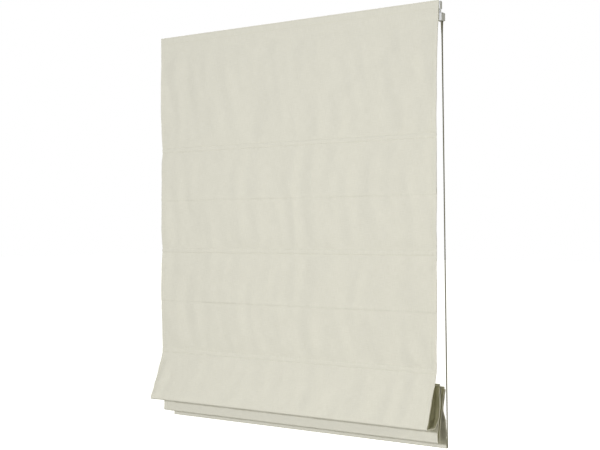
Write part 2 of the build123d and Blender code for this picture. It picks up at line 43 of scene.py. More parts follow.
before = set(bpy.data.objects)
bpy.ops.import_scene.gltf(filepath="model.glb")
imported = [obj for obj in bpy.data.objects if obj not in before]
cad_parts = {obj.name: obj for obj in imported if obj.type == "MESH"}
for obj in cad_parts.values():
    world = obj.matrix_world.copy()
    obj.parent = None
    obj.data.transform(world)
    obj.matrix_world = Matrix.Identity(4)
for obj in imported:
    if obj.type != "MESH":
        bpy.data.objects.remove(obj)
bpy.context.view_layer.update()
MM = 0.001

# ---- sizes taken from the frame ----


def low(node):
    """A CAD node's lowest corner in millimetres."""
    return Vector(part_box(node)[0]) / MM


def high(node):
    """A CAD node's highest corner in millimetres."""
    return Vector(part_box(node)[1]) / MM


def centre(node):
    return (low(node) + high(node)) / 2


CLOTH_TOP = high("fabric_panel").z
CLOTH_BOTTOM = low("fabric_panel").z
TOP_HALF_WIDTH = high("fabric_panel").x
POCKET_INSET = 3.0
HALF_WIDTH = high("rod_pocket_1").x + POCKET_INSET
THICKNESS = 1.2
CLOTH_Y = low("loop_tape").y - THICKNESS / 2
SEAMS = [CLOTH_TOP - centre(f"rod_{n}").z for n in (1, 2, 3)]
SECTION = SEAMS[1] - SEAMS[0]
ROD_3 = centre("rod_3")
CORD_PLACES = [centre(f"lift_cord_{n}").x for n in (1, 2, 3)]
# The cloth turns over rods 4 and 5 just under their pockets
POCKET_SEAT = 0.9
TURN_4 = Vector((0, centre("rod_4").y, low("rod_pocket_4").z - POCKET_SEAT))
TURN_5 = Vector((0, centre("rod_5").y, low("rod_pocket_5").z - POCKET_SEAT))
# The band along the top stays as it is while the stack rises.
BAND = 50.0

# ---- the cloth's middle line, from its top edge down through both folds to the hem ----

FOLD_DROP = SECTION / 2 - 8.0
FLAP_REACH = 58.5
LEAF = 4.0
TURN_BEND = 3.3
FOLD_BEND = 3.6
HEM_BEND = 2.3
HEM_SPACING = 4.8
HEM_HEIGHT = 27.0
hem_y = TURN_5.y + LEAF + 4.5
fold_1 = ROD_3.z - FOLD_DROP
fold_2 = TURN_4.z - FOLD_DROP
hem_z = CLOTH_BOTTOM + THICKNESS / 2
# Each corner's place, as (y, z), and its radius
OUTLINE = [
    ((CLOTH_Y, CLOTH_TOP), 0.0),
    ((CLOTH_Y, ROD_3.z - 5.0), 28.0),
    ((CLOTH_Y - FLAP_REACH, fold_1), 5.0),
    ((CLOTH_Y + 13.0, fold_1 - 1.5), 36.0),
    ((TURN_4.y - LEAF, TURN_4.z), TURN_BEND),
    ((TURN_4.y + LEAF, TURN_4.z), TURN_BEND),
    ((CLOTH_Y + 6.0, fold_2 + 1.0), FOLD_BEND),
    ((CLOTH_Y + 14.5, fold_2 - 3.0), FOLD_BEND),
    ((CLOTH_Y + 28.0, TURN_5.z - 54.0), 60.0),
    ((TURN_5.y - LEAF, TURN_5.z), TURN_BEND),
    ((TURN_5.y + LEAF, TURN_5.z), TURN_BEND),
    ((CLOTH_Y + 38.5, TURN_5.z - 50.0), 40.0),
    ((hem_y - 2.0, TURN_5.z - 92.0), 40.0),
    ((hem_y, hem_z), HEM_BEND),
    ((hem_y + HEM_SPACING, hem_z), HEM_BEND),
    ((hem_y + HEM_SPACING, hem_z + HEM_HEIGHT), 0.0),
]
LINE_STEP = 2.0
ARC_STEP = 0.14


def corner_arc(before, corner, after, radius):
    """Points round one corner of an outline, no more than ARC_STEP radians apart."""
    into = (corner - before) / np.linalg.norm(corner - before)
    out = (after - corner) / np.linalg.norm(after - corner)
    angle = math.acos(np.clip(into @ out, -1, 1))
    back = radius * math.tan(angle / 2)
    left = into[0] * out[1] - into[1] * out[0] > 0
    side = np.array([-into[1], into[0]]) * (1 if left else -1)
    middle = corner - into * back + side * radius
    steps = max(2, math.ceil(angle / ARC_STEP))
    parts = [angle * step / steps for step in range(steps + 1)]
    return [middle - side * radius * math.cos(part) + into * radius * math.sin(part) for part in parts]


def rounded(outline):
    """Points along an outline of (place, corner radius), with its corners as arcs."""
    places = [np.array(place, float) for place, _ in outline]
    radii = [radius for _, radius in outline[1:-1]]
    line = [places[0]]
    for before, corner, after, radius in zip(places, places[1:], places[2:], radii):
        line += corner_arc(before, corner, after, radius)
    return line + [places[-1]]


def filled(line, longest):
    """The same line with points added, so that no two are further apart than longest."""
    spaced = [line[0]]
    for point in line[1:]:
        start = spaced[-1]
        count = max(1, math.ceil(np.linalg.norm(point - start) / longest))
        spaced += [start + (point - start) * k / count for k in range(1, count + 1)]
    return np.array(spaced)


MIDDLE_LINE = filled(rounded(OUTLINE), LINE_STEP)
RUNS = np.linalg.norm(np.diff(MIDDLE_LINE, axis=0), axis=1)
ALONG = np.concatenate([[0.0], np.cumsum(RUNS)])
CLOTH_LENGTH = ALONG[-1]
HEADING = np.gradient(MIDDLE_LINE, ALONG, axis=0)
HEADING /= np.linalg.norm(HEADING, axis=1)[:, None]


def line_place(y, z):
    """How far along the cloth its middle line passes nearest to a place."""
    return ALONG[np.argmin(np.hypot(MIDDLE_LINE[:, 0] - y, MIDDLE_LINE[:, 1] - z))]


SEAM_4 = line_place(TURN_4.y, TURN_4.z)
SEAM_5 = line_place(TURN_5.y, TURN_5.z)
ALL_SEAMS = SEAMS + [SEAM_4, SEAM_5]
HEM_TURN = line_place(hem_y + HEM_SPACING / 2, CLOTH_BOTTOM)
HEM_STITCHES = HEM_TURN - HEM_HEIGHT
# The tight bends at the lower ends of the folds
FOLD_ENDS = [
    line_place(CLOTH_Y - 56.0, fold_1),
    line_place(CLOTH_Y + 7.0, fold_2),
    line_place(CLOTH_Y + 14.0, fold_2),
]
CREASES = [(SEAMS[0] + SEAMS[1]) / 2 + 1.0, (SEAMS[1] + SEAMS[2]) / 2 + 1.0]
TOP_HEM = 24.0
POCKET_LINES = 7.0
HEM_WIDTH = 13.0
STITCH_PITCH = 3.6
STITCH_LENGTH = 2.7
STITCH_PARTS = (-0.5, -0.25, 0.25, 0.5)
# The cloth's unevenness in layers: wavelength across, wavelength along, seed and height
WIDE_WAVES = (120.0, 420.0, 1.3, 1.6)
PLEATS = (40.0, 170.0, 5.1, 1.95)
CRUMPLES = (60.0, 60.0, 9.7, 0.9)
END_RUFFLES = (1.0, 26.0, 2.9, 2.2)
END_GATHERS = (13.0, 60.0, 4.4, 1.5)
LEAF_SWAY = (38.0, 24.0, 12.9, 1.5)
PANEL_BULGE = 3.0
# The cloth lies calm near its seams and fold ends, and ruffles from END_START to its sides
SEAM_CALM = 18.0
FOLD_END_CALM = 13.0
END_START = 440.0
LEAF_END_START = 360.0
# Creases left down the cloth by its packing: place, start, end and height
PACKING_CREASES = [
    (26.0, 250.0, 690.0, 1.3),
    (-60.0, 700.0, 1130.0, 0.9),
    (285.0, 380.0, 560.0, 1.1),
    (26.0, 860.0, 990.0, 1.0),
    (-330.0, 380.0, 700.0, 0.8),
]
PACKING_WIDTH = 7.0
# What shows on the front alone: how far it stands out or dips, and how wide it is
POCKET_RIDGE = 0.95
POCKET_HALF = 5.2
STITCH_DIP = 0.6
STITCH_DIP_WIDTH = 1.7
CREASE_FALL = 1.25
CREASE_WIDTH = 2.6
CREASE_FADE = 18.0
TOP_HEM_DIP = 0.12
SIDE_HEM_DIP = 0.22


def noise_at(x, s, across, along, seed):
    """Smooth noise, mostly between -1 and 1, at two wavelengths in millimetres."""
    return np.array([
        noise.noise(Vector((a / across, b / along, seed)))
        for a, b in zip(np.ravel(x), np.ravel(s))
    ]).reshape(np.shape(x)) * 1.6


def uneven(x, s, layer):
    """One layer of the cloth's unevenness, in millimetres."""
    across, along, seed, height = layer
    return noise_at(x, s, across, along, seed) * height


def near(s, place, width):
    """1 at a place, falling away to nothing over about twice the width."""
    return np.exp(-((s - place) / width) ** 2)


def ramp(value, start, width):
    """0 up to start, rising to 1 over the width."""
    return np.clip((value - start) / width, 0, 1)


def near_any(s, places, width):
    return np.clip(sum(near(s, place, width) for place in places), 0, 1)


def panel_bulge(s):
    """How far the panel swells out between its seams."""
    bulge = PANEL_BULGE * ramp(s, BAND, 60.0) * ramp(SEAMS[2] - s, 0.0, 10.0)
    for place in SEAMS:
        bulge = bulge * (1 - near(s, place, 32.0))
    return bulge


def packing_creases(x, s):
    """The ridges of the packing creases, which wander a little from side to side."""
    height = 0 * s
    for place, start, end, size in PACKING_CREASES:
        wander = place + 5.0 * np.sin(s / 45.0)
        window = ramp(s, start, 50.0) * ramp(end - s, 0.0, 50.0)
        height = height + size * np.exp(-np.abs(x - wander) / PACKING_WIDTH) * window
    return height


def drape(x, s):
    """How far the whole cloth stands out of its middle line, in millimetres, at x and s along it."""
    free = ramp(s, TOP_HEM, 60.0) * ramp(HEM_STITCHES - s, 8.0, 40.0)
    free = free * (1 - 0.8 * near_any(s, FOLD_ENDS, FOLD_END_CALM))
    free = free * (1 - 0.85 * near_any(s, ALL_SEAMS, SEAM_CALM))
    wander = 14.0 * np.sin(s / 60.0)
    ends = ramp(np.abs(x), END_START, 55.0) ** 2 * ramp(s, SEAMS[2], 60.0)
    height = uneven(x, s, WIDE_WAVES) + uneven(x + wander, s, PLEATS) + uneven(x, s, CRUMPLES)
    height = height + (uneven(np.sign(x) * 3.7, s, END_RUFFLES) + uneven(x, s, END_GATHERS)) * ends
    height = height * free + panel_bulge(s) + packing_creases(x, s)
    return height * (1 - near(s, BAND, 9.0))


def relief(x, s):
    """What stands out of the cloth's front alone: its sewn lines, pockets and pressed creases."""
    height = 0 * s
    pucker = 1 + 0.6 * noise_at(x, s, 9.0, 60.0, 3.3)
    for place in SEAMS:
        ridge = np.exp(-((s - place) / POCKET_HALF) ** 4)
        lines = sum(near(s, place + side * POCKET_LINES, STITCH_DIP_WIDTH) for side in (-1, 1))
        height = height + POCKET_RIDGE * ridge - STITCH_DIP * lines * pucker
    for place in CREASES:
        strength = np.clip(0.9 + 0.5 * noise_at(x, 0 * x, 160.0, 1.0, place), 0.35, 1.3)
        fall = -CREASE_FALL * np.tanh((s - place) / CREASE_WIDTH) * np.exp(-np.abs(s - place) / CREASE_FADE)
        height = height + strength * fall
    height = height - TOP_HEM_DIP * near(s, TOP_HEM - 2.0, 1.8)
    from_hem = np.abs(x) - half_width(s) + HEM_WIDTH
    return height - SIDE_HEM_DIP * near(from_hem, 0.0, 1.5)


def sway(x, y, z):
    """How far the folds' leaves swing together towards the window, in millimetres."""
    window = ramp(TURN_4.z - z, 8.0, 22.0) * ramp(z - CLOTH_BOTTOM, 34.0, 18.0)
    ends = 0.7 + 1.3 * ramp(np.abs(x), LEAF_END_START, 120.0)
    calm = np.where(y < CLOTH_Y - 8.0, 0.3, 1.0)
    return uneven(x, z, LEAF_SWAY) * ends * window * calm


# Half the cloth's width at places along it
HALF_WIDTHS = [
    (0.0, TOP_HALF_WIDTH),
    (BAND, TOP_HALF_WIDTH - 1.0),
    (SEAMS[0], HALF_WIDTH),
    (SEAMS[0] + SECTION / 2, HALF_WIDTH + 1.2),
    (SEAMS[1], HALF_WIDTH + 0.4),
    (CREASES[1] - 60.0, HALF_WIDTH + 2.6),
    (SEAMS[2], HALF_WIDTH),
    (CLOTH_LENGTH, HALF_WIDTH),
]


def half_width(s):
    """Half the cloth's width at s along it."""
    return np.interp(s, *zip(*HALF_WIDTHS))


def on_cloth(x, s, lift=0.0):
    """Points in metres on the cloth at x and s along it, lifted towards its front."""
    x, s = np.broadcast_arrays(np.asarray(x, float), np.asarray(s, float))
    out = drape(x, s) + lift
    y = np.interp(s, ALONG, MIDDLE_LINE[:, 0]) + np.interp(s, ALONG, HEADING[:, 1]) * out
    z = np.interp(s, ALONG, MIDDLE_LINE[:, 1]) - np.interp(s, ALONG, HEADING[:, 0]) * out
    return np.stack([x, y + sway(x, y, z), z], axis=-1) * MM


def on_front(x, s, lift=0.0):
    """Points in metres on the cloth's front face."""
    x, s = np.broadcast_arrays(np.asarray(x, float), np.asarray(s, float))
    return on_cloth(x, s, THICKNESS / 2 + relief(x, s) + lift)


def stations(start, end, coarse, close, fine, reach=13.0):
    """Places along the cloth from start to end, closer together near each place in close."""
    places = [start]
    while places[-1] < end - 1e-6:
        here = places[-1]
        step = fine if any(abs(here - place) < reach for place in close) else coarse
        places.append(min(here + step, end))
    return np.array(places)


# ---- meshes ----


def add_mesh(name, vertices, faces, materials, slots=None):
    """A new smooth mesh object from vertices in metres."""
    mesh = bpy.data.meshes.new(name)
    mesh.from_pydata([tuple(v) for v in vertices], [], [tuple(int(i) for i in f) for f in faces])
    for look in materials:
        mesh.materials.append(look)
    if slots is not None:
        mesh.polygons.foreach_set("material_index", slots)
    mesh.polygons.foreach_set("use_smooth", [True] * len(mesh.polygons))
    mesh.update()
    piece = bpy.data.objects.new(name, mesh)
    bpy.context.scene.collection.objects.link(piece)
    return piece


def flat_place(piece, places):
    """Keeps each vertex's place on the flat cloth, in metres, for the weave."""
    kept = piece.data.attributes.new("flat_place", "FLOAT_VECTOR", "POINT")
    kept.data.foreach_set("vector", np.asarray(places, np.float32).ravel())


def grid_faces(rows, columns, start, flip):
    """Quads over a grid of vertices that starts at one index."""
    i, j = np.meshgrid(np.arange(rows - 1), np.arange(columns - 1), indexing="ij")
    a = start + i * columns + j
    quads = np.stack([a, a + columns, a + columns + 1, a + 1], axis=-1).reshape(-1, 4)
    return quads[:, ::-1] if flip else quads


def hem_thickness(x, s):
    """What the doubled side hems add behind the cloth, most at the leaves' ends."""
    leaves = ramp(s - SEAMS[2], 40.0, 30.0) * ramp(HEM_STITCHES - s, 12.0, 15.0)
    held = sum(near(s, place, 11.0) for place in ALL_SEAMS) + ramp(34.0 - s, 0.0, 8.0)
    inside = ramp(np.abs(x) - half_width(s) + HEM_WIDTH, 0.0, 2.0)
    return inside * (0.2 + (0.7 + 1.5 * leaves) * np.clip(1 - held, 0, 1))


def edge_faces(ring, count, flip):
    """Quads that join an edge of the front to the reverse's, whose vertices are count later."""
    quads = np.stack([ring[:-1], ring[:-1] + count, ring[1:] + count, ring[1:]], axis=-1)
    return quads[:, ::-1] if flip else quads


CLOTH_COLUMNS = 170
COLUMN_CROWDING = 0.72


def cloth_piece(name, places, materials):
    """A stretch of the cloth, with a front, a reverse and its edges, in the hems' thickness.

    Its columns lie closer together towards the two sides."""
    columns = CLOTH_COLUMNS
    quarter = math.pi / 2 * COLUMN_CROWDING
    u = np.sin(np.linspace(-1, 1, columns) * quarter) / math.sin(quarter)
    s = places[:, None] + 0 * u[None, :]
    ragged = 0.5 + 0.7 * ramp(s - SEAMS[2], 10.0, 30.0)
    wave = ragged * noise_at(np.sign(u)[None, :] + 0 * s, s, 1.0, 30.0, 7.7)
    x = u[None, :] * (half_width(s) + wave)
    front = on_front(x, s)
    back = on_cloth(x, s, -THICKNESS / 2 - hem_thickness(x, s))
    rows = len(places)
    count = rows * columns
    vertices = np.concatenate([front.reshape(-1, 3), back.reshape(-1, 3)])
    faces = [grid_faces(rows, columns, 0, False), grid_faces(rows, columns, count, True)]
    left = np.arange(rows) * columns
    top = np.arange(columns)
    edges = [
        edge_faces(left, count, False),
        edge_faces(left + columns - 1, count, True),
        edge_faces(top, count, True),
        edge_faces(top + count - columns, count, False),
    ]
    slots = [0] * len(faces[0]) + [1] * len(faces[1]) + [0] * sum(len(e) for e in edges)
    piece = add_mesh(name, vertices, np.concatenate(faces + edges), materials, slots)
    piece.data.set_sharp_from_angle(angle=math.radians(60))
    flat = np.stack([x, s, 0 * x], axis=-1).reshape(-1, 3) * MM
    flat_place(piece, np.concatenate([flat, flat + (0, 0, THICKNESS * MM)]))
    return piece


STITCH_RADIUS = 0.26
STITCH_SIDES = 5


def stitch_mesh(name, spots, sides, ups, look):
    """Stitches as small spindles. spots holds four points along each, in metres."""
    vertices, faces = [], []
    ring = [2 * math.pi * corner / STITCH_SIDES for corner in range(STITCH_SIDES)]
    for (head, near_head, near_tail, tail), side, up in zip(spots, sides, ups):
        first = len(vertices)
        last = first + 1 + 2 * STITCH_SIDES
        vertices.append(head)
        for spot in (near_head, near_tail):
            for turn in ring:
                out = side * math.cos(turn) + up * (math.sin(turn) + 0.35)
                vertices.append(spot + out * STITCH_RADIUS * MM)
        vertices.append(tail)
        for corner in range(STITCH_SIDES):
            a = first + 1 + corner
            b = first + 1 + (corner + 1) % STITCH_SIDES
            faces.append((first, b, a))
            faces.append((a, b, b + STITCH_SIDES))
            faces.append((a, b + STITCH_SIDES, a + STITCH_SIDES))
            faces.append((last, a + STITCH_SIDES, b + STITCH_SIDES))
    return add_mesh(name, vertices, faces, [look])


def unit(vectors):
    return vectors / np.linalg.norm(vectors, axis=-1, keepdims=True)


def sewn(name, lines, look):
    """Rows of stitches on the cloth's front. Each line is (x, s) at its start and at its end."""
    spots, sides, ups = [], [], []
    for x_start, s_start, x_end, s_end in lines:
        run = math.hypot(x_end - x_start, s_end - s_start)
        way = ((x_end - x_start) / run, (s_end - s_start) / run)
        count = int(run / STITCH_PITCH)
        middles = run * (np.arange(count) + 0.5) / count
        row = []
        for part in STITCH_PARTS:
            along = middles + part * STITCH_LENGTH
            row.append(on_front(x_start + way[0] * along, s_start + way[1] * along))
        row = np.stack(row, axis=1)
        above = on_front(x_start + way[0] * middles, s_start + way[1] * middles, 1.0)
        up = unit(above - (row[:, 1] + row[:, 2]) / 2)
        side = unit(np.cross(unit(row[:, 3] - row[:, 0]), up))
        spots.append(row)
        sides.append(side)
        ups.append(up)
    return stitch_mesh(name, np.concatenate(spots), np.concatenate(sides), np.concatenate(ups), look)


def strip_walls(size, count, first, flip):
    """Quads along a strip's section of size points, drawn in count steps."""
    faces = []
    for k in range(count):
        for i in range(size):
            j = (i + 1) % size
            a = first + k * size
            quad = (a + i, a + j, a + size + j, a + size + i)
            faces.append(quad[::-1] if flip else quad)
    return faces


def strip_ends(rings, count):
    """Triangles that close a strip's two ends, round its hole if it has one."""
    size = len(rings[0])
    hole_size = len(rings[-1])
    inner = size * (count + 1)
    faces = []
    for triangle in tessellate_polygon([[Vector((x, y, 0)) for x, y in ring] for ring in rings]):
        head = [i if i < size else inner + i - size for i in triangle]
        tail = [i + count * size if i < size else inner + count * hole_size + i - size for i in triangle]
        faces += [tuple(head[::-1]), tuple(tail)]
    return faces


def extruded(name, outline, hole, frame_axes, x_start, x_end, look, step=4.0, wobble=0.25):
    """A cloth strip of one closed outline, drawn along X from x_start to x_end.

    outline and hole are points (out, along) in millimetres, and frame_axes is the strip's
    origin, its outward way and its way along the cloth. The outside is uneven by wobble."""
    origin, outward, along = frame_axes
    count = max(2, int((x_end - x_start) / step))
    rings = [np.array(ring, float) for ring in (outline, hole) if ring]
    vertices, faces, places = [], [], []
    for number, ring in enumerate(rings):
        faces += strip_walls(len(ring), count, len(vertices), number > 0)
        for x in np.linspace(x_start, x_end, count + 1):
            for out, run in ring:
                shift = 0
                if number == 0:
                    shift = wobble * noise.noise(Vector((x / 17.0, run / 5.0, origin.z / 40.0)))
                point = origin + outward * max(out + shift * (out > 0.3), 0.0) + along * (run + shift)
                vertices.append(Vector((x, point.y, point.z)) * MM)
                places.append((x * MM, (origin.z + run + out) * MM, 0))
    faces += strip_ends(rings, count)
    piece = add_mesh(name, vertices, faces, [look])
    flat_place(piece, places)
    tidy = bmesh.new()
    tidy.from_mesh(piece.data)
    bmesh.ops.recalc_face_normals(tidy, faces=tidy.faces)
    tidy.to_mesh(piece.data)
    tidy.free()
    piece.data.set_sharp_from_angle(angle=math.radians(50))
    return piece


def tube(name, line, radius, look, sides=10):
    """A round tube along points in metres, closed at both ends."""
    table = np.array([tuple(p) for p in line])
    ways = unit(np.gradient(table, axis=0))
    vertices, faces = [], []
    side = unit(np.cross(ways[0], (1.0, 0.3, 0.1)))
    for point, way in zip(table, ways):
        side = unit(side - way * (side @ way))
        other = np.cross(way, side)
        for k in range(sides):
            turn = 2 * math.pi * k / sides
            vertices.append(point + (side * math.cos(turn) + other * math.sin(turn)) * radius * MM)
    for k in range(len(table) - 1):
        for i in range(sides):
            j = (i + 1) % sides
            faces.append((k * sides + i, k * sides + j, (k + 1) * sides + j, (k + 1) * sides + i))
    last = (len(table) - 1) * sides
    faces.append(tuple(range(sides))[::-1])
    faces.append(tuple(last + i for i in range(sides)))
    return add_mesh(name, vertices, faces, [look])


# ---- materials ----


def material(name, colour, roughness, metallic=0.0):
    """A new material and its shader, with plain values on the shader's own sockets."""
    made = bpy.data.materials.new(name)
    made.use_nodes = True
    shader = made.node_tree.nodes["Principled BSDF"]
    shader.inputs["Base Color"].default_value = (*colour, 1)
    shader.inputs["Roughness"].default_value = roughness
    shader.inputs["Metallic"].default_value = metallic
    return made, shader


def add_node(made, kind, **inputs):
    node = made.node_tree.nodes.new(kind)
    for key, value in inputs.items():
        node.inputs[key.replace("_", " ")].default_value = value
    return node


def link(made, output, entry):
    made.node_tree.links.new(output, entry)


def mapped(made, vector, scale=(1, 1, 1), rotation=(0, 0, 0)):
    """Coordinates that are scaled or turned."""
    mapping = add_node(made, "ShaderNodeMapping", Scale=scale, Rotation=rotation)
    link(made, vector, mapping.inputs["Vector"])
    return mapping.outputs["Vector"]


def coordinates(made, scale=(1, 1, 1)):
    """The piece's own coordinates in metres, scaled."""
    return mapped(made, add_node(made, "ShaderNodeTexCoord").outputs["Object"], scale)


def cloth_coordinates(made):
    """The place on the flat cloth, in metres."""
    source = add_node(made, "ShaderNodeAttribute")
    source.attribute_name = "flat_place"
    return mapped(made, source.outputs["Vector"])


def noise_texture(made, vector, scale, detail):
    texture = add_node(made, "ShaderNodeTexNoise", Scale=scale, Detail=detail)
    link(made, vector, texture.inputs["Vector"])
    return texture.outputs["Fac"]


def colour_ramp(made, value, first, last, start=0.0, end=1.0):
    """From a first colour to a last one, as a value goes from start to end."""
    node = add_node(made, "ShaderNodeValToRGB")
    node.color_ramp.elements[0].position = start
    node.color_ramp.elements[1].position = end
    node.color_ramp.elements[0].color = (*first, 1)
    node.color_ramp.elements[1].color = (*last, 1)
    link(made, value, node.inputs["Fac"])
    return node.outputs["Color"]


def mottle(made, vector, scale, detail, dark, light, start=0.3, end=0.7):
    """Noise between two colours."""
    return colour_ramp(made, noise_texture(made, vector, scale, detail), dark, light, start, end)


def colour_from(made, shader, colour):
    link(made, colour, shader.inputs["Base Color"])


def vary_roughness(made, shader, value, smoothest, roughest):
    """Spreads the shader's roughness between two values, by a texture."""
    spread = add_node(made, "ShaderNodeMapRange")
    spread.inputs["To Min"].default_value = smoothest
    spread.inputs["To Max"].default_value = roughest
    link(made, value, spread.inputs["Value"])
    link(made, spread.outputs["Result"], shader.inputs["Roughness"])


def blended(made, kind, factor, first, second):
    """Two colours mixed in one of the mix node's ways."""
    node = add_node(made, "ShaderNodeMix")
    node.data_type = "RGBA"
    node.blend_type = kind
    node.inputs["Factor"].default_value = factor
    link(made, first, node.inputs[6])
    link(made, second, node.inputs[7])
    return node.outputs[2]


def maths(made, kind, *values):
    node = add_node(made, "ShaderNodeMath")
    node.operation = kind
    for entry, value in zip(node.inputs, values):
        if isinstance(value, (int, float)):
            entry.default_value = value
        else:
            link(made, value, entry)
    return node.outputs[0]


def add_bump(made, shader, height, distance, strength=1.0):
    bump = add_node(made, "ShaderNodeBump", Strength=strength, Distance=distance)
    link(made, height, bump.inputs["Height"])
    link(made, bump.outputs["Normal"], shader.inputs["Normal"])


THREAD_WIDTH = 0.55


def woven(name, colour, dark):
    """Plain weave with slubs along both ways of the cloth, and a soft mottle."""
    made, shader = material(name, colour, 0.92)
    shader.inputs["Sheen Weight"].default_value = 0.15
    shader.inputs["Sheen Roughness"].default_value = 0.5
    shader.inputs["Specular IOR Level"].default_value = 0.2
    vector = cloth_coordinates(made)
    split = add_node(made, "ShaderNodeSeparateXYZ")
    link(made, vector, split.inputs[0])
    turns = 2 * math.pi / (THREAD_WIDTH * MM * 2)
    warp = maths(made, "SINE", maths(made, "MULTIPLY", split.outputs["X"], turns))
    weft = maths(made, "SINE", maths(made, "MULTIPLY", split.outputs["Y"], turns))
    weave = maths(made, "MULTIPLY", warp, weft)
    warp_slub = noise_texture(made, mapped(made, vector, (900, 45, 1)), 1.0, 2.0)
    weft_slub = noise_texture(made, mapped(made, vector, (45, 900, 1)), 1.0, 2.0)
    slubs = maths(made, "ADD", warp_slub, weft_slub)
    tint = colour_ramp(made, maths(made, "MULTIPLY", slubs, 0.5), dark, colour, 0.38, 0.62)
    light = [min(1.0, c * 1.02) for c in colour]
    shade = [c * 0.97 for c in colour]
    cloud = mottle(made, vector, 22.0, 6.0, shade, light, 0.25, 0.75)
    colour_from(made, shader, blended(made, "MIX", 0.5, tint, cloud))
    height = maths(made, "ADD", maths(made, "MULTIPLY", weave, 0.5), maths(made, "MULTIPLY", slubs, 1.2))
    add_bump(made, shader, height, 0.00012, 0.6)
    return made


def moulded(name, colour, roughness=0.42, grain=2600.0):
    """Moulded plastic with a fine spark-eroded grain and faint colour variation."""
    made, shader = material(name, colour, roughness)
    vector = coordinates(made)
    colour_from(made, shader, mottle(made, vector, 60.0, 3.0, [c * 0.93 for c in colour], colour))
    rough = noise_texture(made, vector, grain, 2.0)
    vary_roughness(made, shader, rough, roughness - 0.08, roughness + 0.12)
    add_bump(made, shader, rough, 0.00003, 0.5)
    return made


def metal(name, colour, roughness, stretch=(4, 900, 900), metallic=1.0):
    """Drawn or painted metal with fine lines along its length."""
    made, shader = material(name, colour, roughness, metallic)
    vector = coordinates(made, stretch)
    colour_from(made, shader, mottle(made, vector, 1.0, 3.0, [c * 0.86 for c in colour], colour))
    lines = noise_texture(made, vector, 1.0, 3.0)
    vary_roughness(made, shader, lines, roughness - 0.07, roughness + 0.1)
    add_bump(made, shader, lines, 0.00003, 0.4)
    return made


def napped(name, colour, dark, scale):
    """Hook or loop tape: a dense fuzzy pile."""
    made, shader = material(name, colour, 0.95)
    shader.inputs["Sheen Weight"].default_value = 0.4
    pile = add_node(made, "ShaderNodeTexVoronoi", Scale=scale)
    link(made, coordinates(made), pile.inputs["Vector"])
    distance = pile.outputs["Distance"]
    colour_from(made, shader, colour_ramp(made, distance, colour, dark, 0.0, 0.8))
    add_bump(made, shader, maths(made, "SUBTRACT", 1.0, distance), 0.0005, 0.9)
    return made


def braided(name, colour, dark, pitch=0.9):
    """Braided cord: diagonal strands."""
    made, shader = material(name, colour, 0.7)
    vector = coordinates(made)
    waves = []
    for way in (1, -1):
        strand = add_node(made, "ShaderNodeTexWave", Scale=1.0 / (pitch * MM) / 6.28, Distortion=0.4)
        turned = mapped(made, vector, rotation=(0, way * math.radians(35), 0))
        link(made, turned, strand.inputs["Vector"])
        waves.append(strand.outputs["Fac"])
    strands = maths(made, "MULTIPLY", *waves)
    colour_from(made, shader, colour_ramp(made, strands, dark, colour, 0.0, 0.5))
    add_bump(made, shader, strands, 0.0002, 0.7)
    return made


def glass_fibre(name):
    """Pultruded rod: pale resin with fine fibres along it."""
    made, shader = material(name, (0.78, 0.78, 0.72), 0.35)
    vector = coordinates(made, (8, 2600, 2600))
    colour_from(made, shader, mottle(made, vector, 1.0, 4.0, (0.62, 0.63, 0.55), (0.86, 0.86, 0.8)))
    add_bump(made, shader, noise_texture(made, vector, 1.0, 4.0), 0.00005, 0.5)
    return made


front_cloth = woven("cloth_front", (0.650, 0.639, 0.606), (0.555, 0.544, 0.502))
# The reverse's colour is darker and more olive than the front's: painted shade for the insides of the
# folds.
shaded_reverse_cloth = woven("cloth_reverse_painted_shade", (0.61, 0.594, 0.455), (0.523, 0.507, 0.385))
pocket_cloth = woven("pocket_cloth", (0.66, 0.65, 0.58), (0.62, 0.61, 0.54))
thread_look = braided("sewing_thread", (0.66, 0.65, 0.56), (0.5, 0.49, 0.41), 0.5)
rail_paint = metal("rail_paint", (0.72, 0.72, 0.70), 0.35, metallic=0.0)
grey_plastic = moulded("grey_plastic", (0.59, 0.603, 0.665))
white_plastic = moulded("white_plastic", (0.74, 0.74, 0.72))
ring_plastic = moulded("ring_plastic", (0.80, 0.80, 0.76), 0.3, 1800.0)
bright_steel = metal("bright_steel", (0.58, 0.58, 0.57), 0.3)
cord_braid = braided("cord_braid", (0.80, 0.79, 0.74), (0.60, 0.59, 0.54))
fibre_rod = glass_fibre("fibre_rod")
hook_pile = napped("hook_pile", (0.78, 0.78, 0.75), (0.5, 0.5, 0.48), 1100.0)
loop_pile = napped("loop_pile", (0.80, 0.80, 0.77), (0.55, 0.55, 0.52), 1800.0)
bead_metal = metal("bead_metal", (0.150, 0.143, 0.100), 0.6, (2200, 2200, 2200), 0.4)

NODE_LOOKS = {
    "head_rail": rail_paint,
    "left_end_cap": grey_plastic,
    "right_end_cap": grey_plastic,
    "hook_tape": hook_pile,
    "loop_tape": loop_pile,
    "left_bracket": bright_steel,
    "right_bracket": bright_steel,
    "cord_stops": white_plastic,
    "shaft_bearing": white_plastic,
    "shaft_bush": grey_plastic,
    "drive_shaft": bright_steel,
    "drive_housing": grey_plastic,
    "drive_cover": grey_plastic,
    "cover_screws": bright_steel,
    "chain_wheel": grey_plastic,
    "brake_spring": bright_steel,
    "bottom_bar": bright_steel,
    "left_bar_cap": white_plastic,
    "right_bar_cap": white_plastic,
}
for number in (1, 2, 3):
    NODE_LOOKS[f"cord_drum_{number}"] = white_plastic
    NODE_LOOKS[f"drum_cradle_{number}"] = white_plastic
for number in (1, 2, 3, 4, 5):
    NODE_LOOKS[f"rod_{number}"] = fibre_rod
    NODE_LOOKS[f"rod_rings_{number}"] = ring_plastic

for node, look in NODE_LOOKS.items():
    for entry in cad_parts[node].material_slots:
        entry.material = look

# ---- the cloth ----

CLOTH_LOOKS = [front_cloth, shaded_reverse_cloth]
